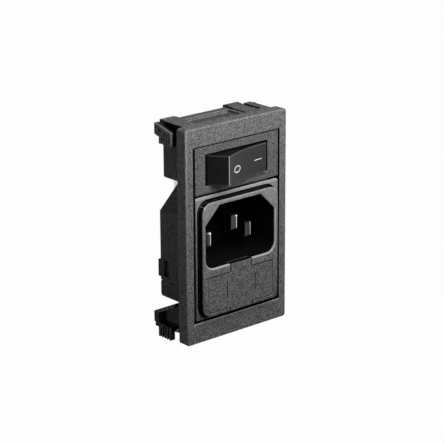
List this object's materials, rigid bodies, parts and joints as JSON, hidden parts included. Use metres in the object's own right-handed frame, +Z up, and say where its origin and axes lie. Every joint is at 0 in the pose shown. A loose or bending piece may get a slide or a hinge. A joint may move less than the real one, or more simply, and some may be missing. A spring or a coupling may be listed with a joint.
{
  "type": "switched and fused c14 inlet in a snap-in panel frame",
  "caption": "Snap-in panel frame holding a two-pole rocker switch above a C14 appliance inlet with a fuse drawer.",
  "frame": {"origin": "centre of the bezel's rear face, where it seats against the panel", "axes": "+X right seen from the front, +Y to the rear through the panel, +Z up; the sockets face -Y"},
  "size_m": [0.0348, 0.0299, 0.0594],
  "materials": {
    "contact_silver": "silver alloy",
    "drawer_plastic": "black thermoplastic, fine spark texture",
    "frame_plastic": "black thermoplastic, fine spark texture",
    "fuse_cap_metal": "nickel plated caps",
    "fuse_glass": "clear glass tube",
    "inlet_plastic": "black thermoplastic, fine spark texture",
    "nickel_plate": "bright nickel on brass",
    "plunger_plastic": "natural acetal",
    "rocker_plastic": "black thermoplastic, satin, with white marks",
    "spring_steel": "music wire",
    "switch_plastic": "black thermoplastic, fine spark texture",
    "tinned_brass": "tinned brass strip",
    "tinned_wire": "fine tinned wire"
  },
  "bodies": {
    "module": {"common_terminal_lower": "tinned_brass", "common_terminal_upper": "tinned_brass", "contact_terminal_lower": "tinned_brass", "contact_terminal_upper": "tinned_brass", "earth_pin": "nickel_plate", "fixed_contact_lower": "contact_silver", "fixed_contact_upper": "contact_silver", "fuse_clip_left": "tinned_brass", "fuse_clip_right": "tinned_brass", "inlet_body": "inlet_plastic", "line_pin": "nickel_plate", "neutral_pin": "nickel_plate", "panel_frame": "frame_plastic", "switch_base": "switch_plastic", "switch_housing": "switch_plastic"},
    "rocker": {"rocker": "rocker_plastic", "plunger_spring_lower": "spring_steel", "plunger_spring_upper": "spring_steel"},
    "fuse_drawer": {"fuse_cap_left": "fuse_cap_metal", "fuse_cap_right": "fuse_cap_metal", "fuse_drawer": "drawer_plastic", "fuse_tube": "fuse_glass", "fuse_wire": "tinned_wire", "spare_fuse_cap_left": "fuse_cap_metal", "spare_fuse_cap_right": "fuse_cap_metal", "spare_fuse_tube": "fuse_glass", "spare_fuse_wire": "tinned_wire"},
    "contact_lever_upper": {"contact_lever_upper": "tinned_brass", "moving_contact_upper": "contact_silver"},
    "plunger_upper": {"plunger_upper": "plunger_plastic"},
    "contact_lever_lower": {"contact_lever_lower": "tinned_brass", "moving_contact_lower": "contact_silver"},
    "plunger_lower": {"plunger_lower": "plunger_plastic"}
  },
  "joints": [
    {"name": "rocker_rock", "type": "hinge", "parent": "module", "child": "rocker", "pos_m": [0, 0.001, 0.01762], "axis": [0, 0, 1], "range_deg": [-26, 0]},
    {"name": "drawer_slide", "type": "slide", "parent": "module", "child": "fuse_drawer", "axis": [0, -1, 0], "range_m": [0, 0.02]},
    {"name": "lever_rock_upper", "type": "hinge", "parent": "module", "child": "contact_lever_upper", "pos_m": [0, 0.0084, 0.01972], "axis": [0, 0, 1], "range_deg": [0, 14.2]},
    {"name": "plunger_slide_upper", "type": "slide", "parent": "rocker", "child": "plunger_upper", "axis": [-0.225, 0.9744, 0], "range_m": [-0.0003, 0], "stiffness_N_per_m": 60},
    {"name": "lever_rock_lower", "type": "hinge", "parent": "module", "child": "contact_lever_lower", "pos_m": [0, 0.0084, 0.01552], "axis": [0, 0, 1], "range_deg": [0, 14.2]},
    {"name": "plunger_slide_lower", "type": "slide", "parent": "rocker", "child": "plunger_lower", "axis": [-0.225, 0.9744, 0], "range_m": [-0.0003, 0], "stiffness_N_per_m": 60}
  ],
  "couplings": [
    {"joint": "lever_rock_upper", "follows": "rocker_rock", "ratio": -0.53846},
    {"joint": "lever_rock_lower", "follows": "rocker_rock", "ratio": -0.53846}
  ]
}
